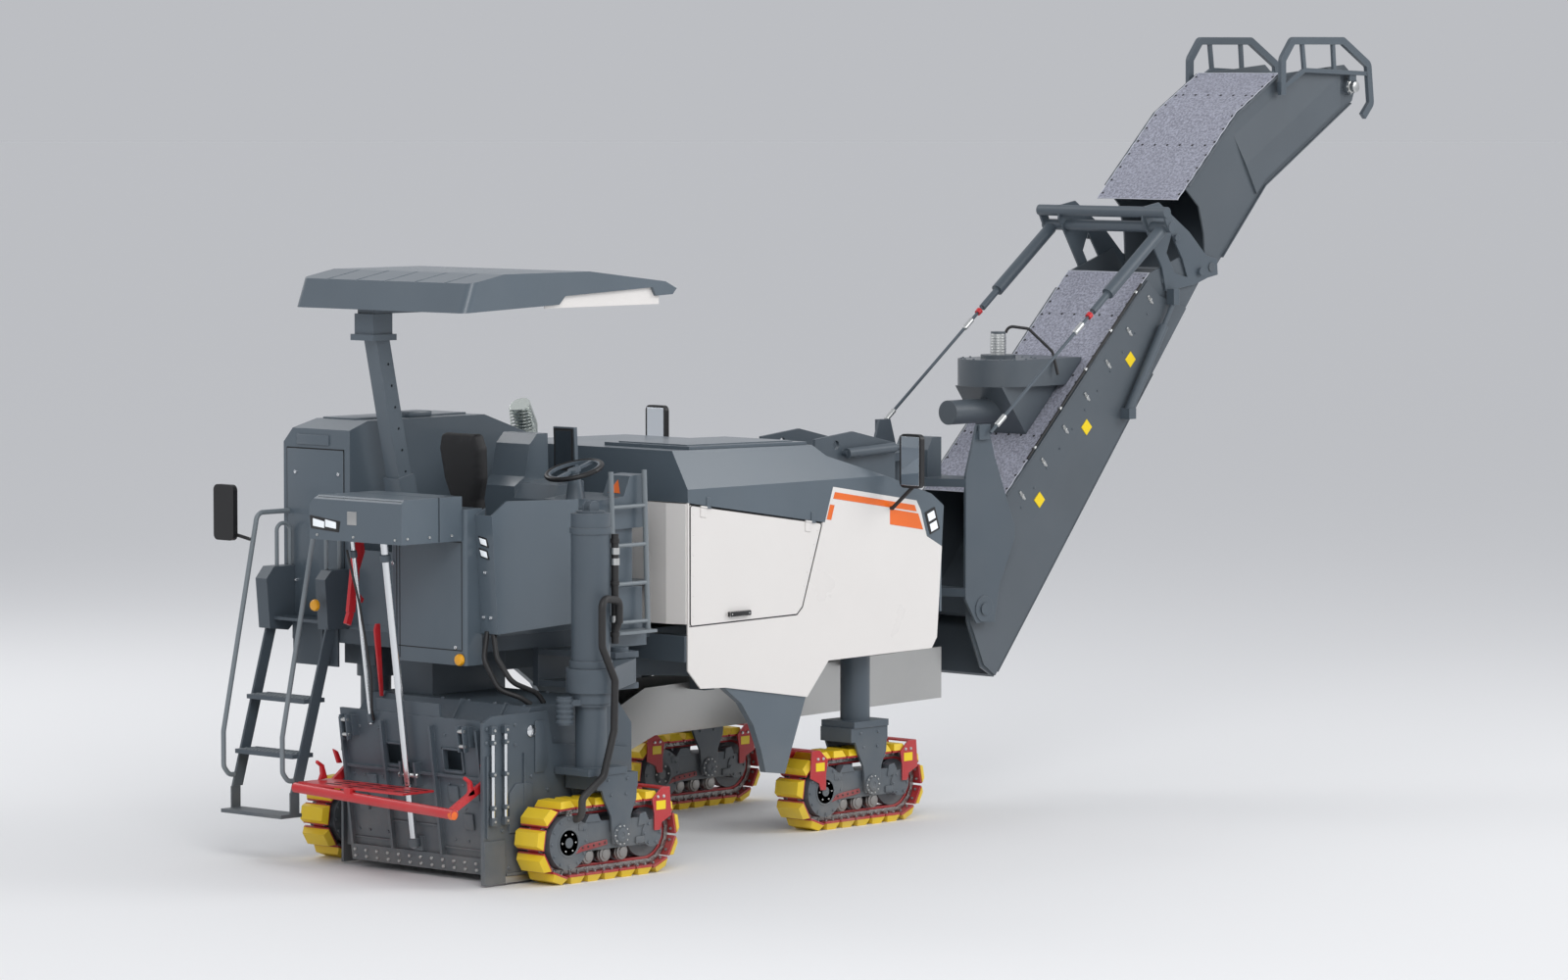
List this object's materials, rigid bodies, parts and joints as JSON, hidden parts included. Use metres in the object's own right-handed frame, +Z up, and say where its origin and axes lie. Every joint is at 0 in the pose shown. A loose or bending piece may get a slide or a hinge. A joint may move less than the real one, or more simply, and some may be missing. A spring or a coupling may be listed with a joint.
{
  "type": "cold planer milling machine",
  "caption": "Tracked road milling machine with a drum housing between the rear tracks, an open operator's platform with canopy and a folding front discharge conveyor.",
  "frame": {"origin": "on the ground, on the machine's centreline, straight below the axis of the milling drum", "axes": "+X forward towards the discharge conveyor's head, +Y to the machine's left, +Z up"},
  "size_m": [10.8458, 3.1697, 5.574],
  "materials": {
    "body_paint": "semi-gloss blue-grey body paint",
    "frame_paint": "satin blue-grey chassis paint",
    "panel_white": "gloss warm white paint",
    "signal_red": "satin red paint",
    "pad_yellow": "moulded yellow polyurethane",
    "chain_red": "red painted shoes with bare steel links",
    "polished_steel": "ground and chromed rod",
    "bare_steel": "worn bare steel",
    "cover_fabric": "speckled grey dust cloth",
    "black_plastic": "black moulded plastic",
    "hose_rubber": "black fabric-sleeved hose",
    "seat_black": "black upholstery",
    "exhaust_steel": "brushed stainless steel"
  },
  "bodies": {
    "chassis": {"collecting_conveyor": "bare_steel", "consoles": "body_paint", "drum_housing": "frame_paint", "engine_block": "frame_paint", "engine_hood": "body_paint", "exhaust": "exhaust_steel", "floor_mat": "black_plastic", "front_tower": "frame_paint", "ladder_rails": "frame_paint", "ladders": "frame_paint", "left_cabinet": "body_paint", "lower_fenders": "body_paint", "main_frame": "frame_paint", "mast_socket": "frame_paint", "mirrors": "black_plastic", "operator_seat": "seat_black", "platform": "body_paint", "rear_cabinet": "body_paint", "rear_cover": "body_paint", "red_gear": "signal_red", "right_ladder": "frame_paint", "side_panels": "panel_white"},
    "drum": {"milling_drum": "bare_steel"},
    "scraper": {"scraper_board": "frame_paint", "scraper_rods": "polished_steel"},
    "edge_right": {"side_plate_right": "frame_paint", "edge_plate_guides": "frame_paint"},
    "edge_left": {"side_plate_left": "frame_paint"},
    "front_left_track": {"front_left_undercarriage": "frame_paint", "front_left_track_chain": "chain_red", "front_left_track_pads": "pad_yellow"},
    "front_right_track": {"front_right_undercarriage": "frame_paint", "front_right_track_chain": "chain_red", "front_right_track_pads": "pad_yellow"},
    "rear_left_track": {"rear_left_undercarriage": "frame_paint", "rear_left_track_chain": "chain_red", "rear_left_track_pads": "pad_yellow"},
    "swing": {"swing_arm": "frame_paint"},
    "rear_right_leg": {"leg_tube": "frame_paint", "leg_hoses": "hose_rubber", "rear_right_undercarriage": "frame_paint", "rear_right_track_chain": "chain_red", "rear_right_track_pads": "pad_yellow"},
    "carrier": {"slew_frame": "frame_paint"},
    "conveyor": {"lower_conveyor": "body_paint", "lower_cover": "cover_fabric", "suction_fan": "body_paint", "fold_frame": "frame_paint", "luff_gear": "frame_paint"},
    "head": {"upper_conveyor": "body_paint", "upper_cover": "cover_fabric", "head_guards": "frame_paint"},
    "canopy": {"canopy_mast": "frame_paint", "canopy_roof": "body_paint", "canopy_liner": "panel_white"},
    "door_right": {"service_door_right": "panel_white"},
    "door_left": {"service_door_left": "panel_white"},
    "lid": {"engine_lid": "body_paint"}
  },
  "joints": [
    {"name": "drum_spin", "type": "hinge", "parent": "chassis", "child": "drum", "pos_m": [0, -0.65, 0.62], "axis": [0, 1, 0], "continuous": true},
    {"name": "scraper_lift", "type": "slide", "parent": "chassis", "child": "scraper", "axis": [-0.1305, 0, 0.9914], "range_m": [0, 0.24]},
    {"name": "edge_right_lift", "type": "slide", "parent": "chassis", "child": "edge_right", "axis": [0, 0, 1], "range_m": [0, 0.3]},
    {"name": "edge_left_lift", "type": "slide", "parent": "chassis", "child": "edge_left", "axis": [0, 0, 1], "range_m": [0, 0.3]},
    {"name": "front_left_steer", "type": "hinge", "parent": "chassis", "child": "front_left_track", "pos_m": [3.35, 0.8, 0.7], "axis": [0, 0, 1], "range_deg": [-20, 20]},
    {"name": "front_right_steer", "type": "hinge", "parent": "chassis", "child": "front_right_track", "pos_m": [3.35, -0.8, 0.7], "axis": [0, 0, 1], "range_deg": [-20, 20]},
    {"name": "rear_left_steer", "type": "hinge", "parent": "chassis", "child": "rear_left_track", "pos_m": [-0.06, 0.51, 0.7], "axis": [0, 0, 1], "range_deg": [-10, 10]},
    {"name": "rear_right_swing", "type": "hinge", "parent": "chassis", "child": "swing", "pos_m": [0.545, -1.23, 1.3], "axis": [0, 0, 1], "range_deg": [0, 180]},
    {"name": "rear_right_leg_turn", "type": "hinge", "parent": "swing", "child": "rear_right_leg", "pos_m": [-0.06, -1.56, 1.3], "axis": [0, 0, 1], "range_deg": [-180, 0]},
    {"name": "conveyor_slew", "type": "hinge", "parent": "chassis", "child": "carrier", "pos_m": [4.65, 0, 2], "axis": [0, 0, 1], "range_deg": [-60, 60]},
    {"name": "conveyor_luff", "type": "hinge", "parent": "carrier", "child": "conveyor", "pos_m": [5.08, 0, 1.4], "axis": [0, 1, 0], "range_deg": [-8, 15]},
    {"name": "conveyor_fold", "type": "hinge", "parent": "conveyor", "child": "head", "pos_m": [7.76, 0, 3.83], "axis": [0, 1, 0], "range_deg": [0, 120]},
    {"name": "canopy_lift", "type": "slide", "parent": "chassis", "child": "canopy", "axis": [0.2079, 0, -0.9781], "range_m": [0, 0.55]},
    {"name": "service_door_right", "type": "hinge", "parent": "chassis", "child": "door_right", "pos_m": [1.41, -1.0573, 2.375], "axis": [-0.9893, 0, 0.1456], "range_deg": [0, 85]},
    {"name": "service_door_left", "type": "hinge", "parent": "chassis", "child": "door_left", "pos_m": [1.41, 1.0573, 2.375], "axis": [0.9893, 0, -0.1456], "range_deg": [0, 85]},
    {"name": "engine_lid", "type": "hinge", "parent": "chassis", "child": "lid", "pos_m": [1.58, -0.05, 2.74827], "axis": [-0.9999, 0, 0.0144], "range_deg": [0, 60]}
  ],
  "couplings": [
    {"joint": "rear_right_leg_turn", "follows": "rear_right_swing", "ratio": -1},
    {"joint": "front_right_steer", "follows": "front_left_steer", "ratio": 1}
  ]
}
